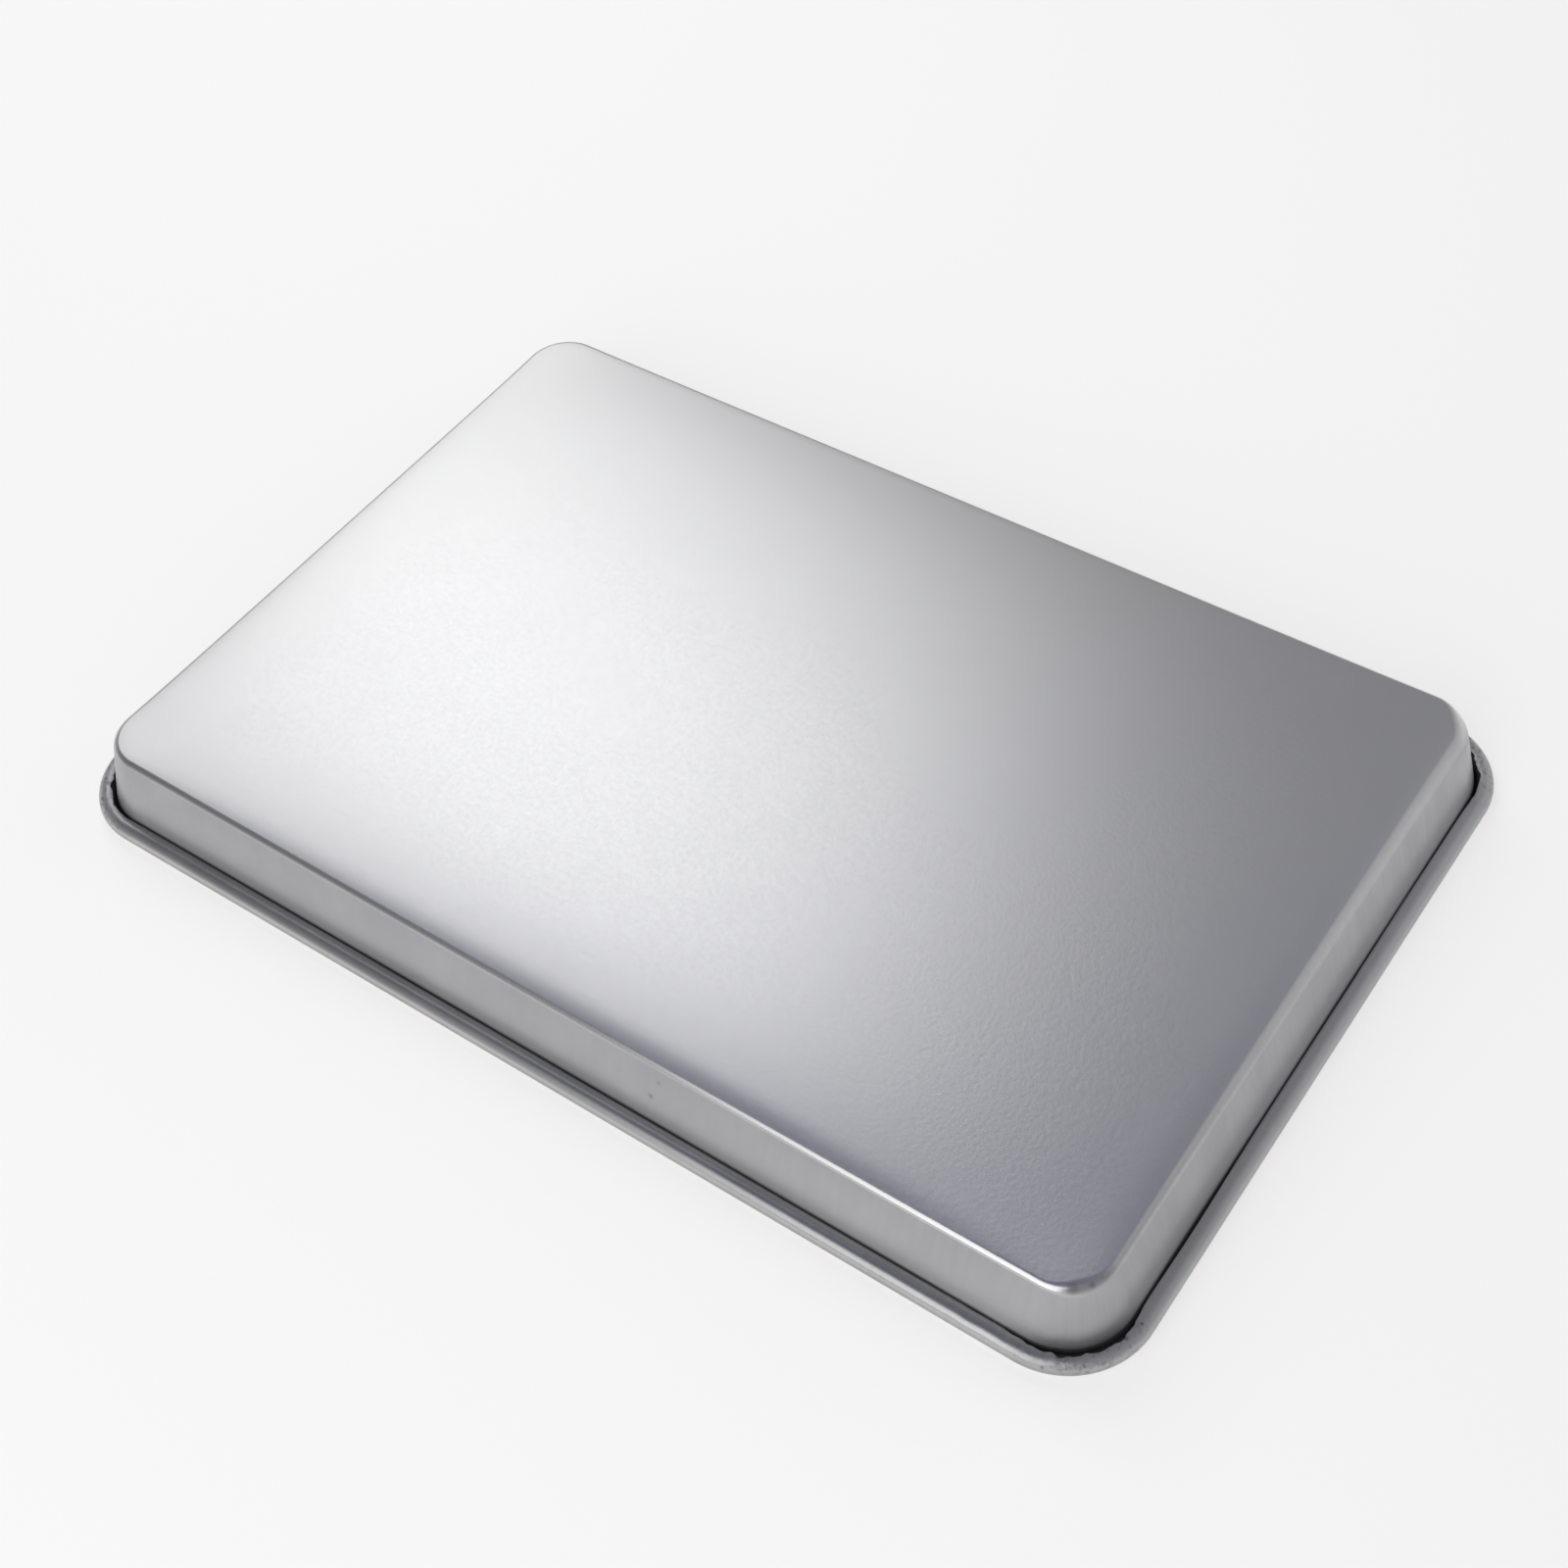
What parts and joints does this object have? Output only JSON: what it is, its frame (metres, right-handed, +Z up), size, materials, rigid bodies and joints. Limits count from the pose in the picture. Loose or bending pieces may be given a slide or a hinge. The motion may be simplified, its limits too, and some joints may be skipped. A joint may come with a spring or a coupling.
{
  "type": "cookie sheet",
  "caption": "Shallow rectangular aluminium baking pan with sloping walls, rounded corners and a rim rolled round a stiffening wire, standing upside down on its rim.",
  "frame": {"origin": "on the surface that the rim stands on, under the middle of the base", "axes": "+X along the length, +Y along the width, +Z up through the outside of the base: the pan is upside down, and its mouth opens towards -Z"},
  "size_m": [0.394, 0.267, 0.028],
  "materials": {
    "pan_aluminium": "satin rolled sheet with fine draw marks on the walls",
    "galvanised_wire": "dull zinc coating"
  },
  "bodies": {
    "root": {"pan_sheet": "pan_aluminium", "rim_wire": "galvanised_wire"}
  },
  "joints": []
}
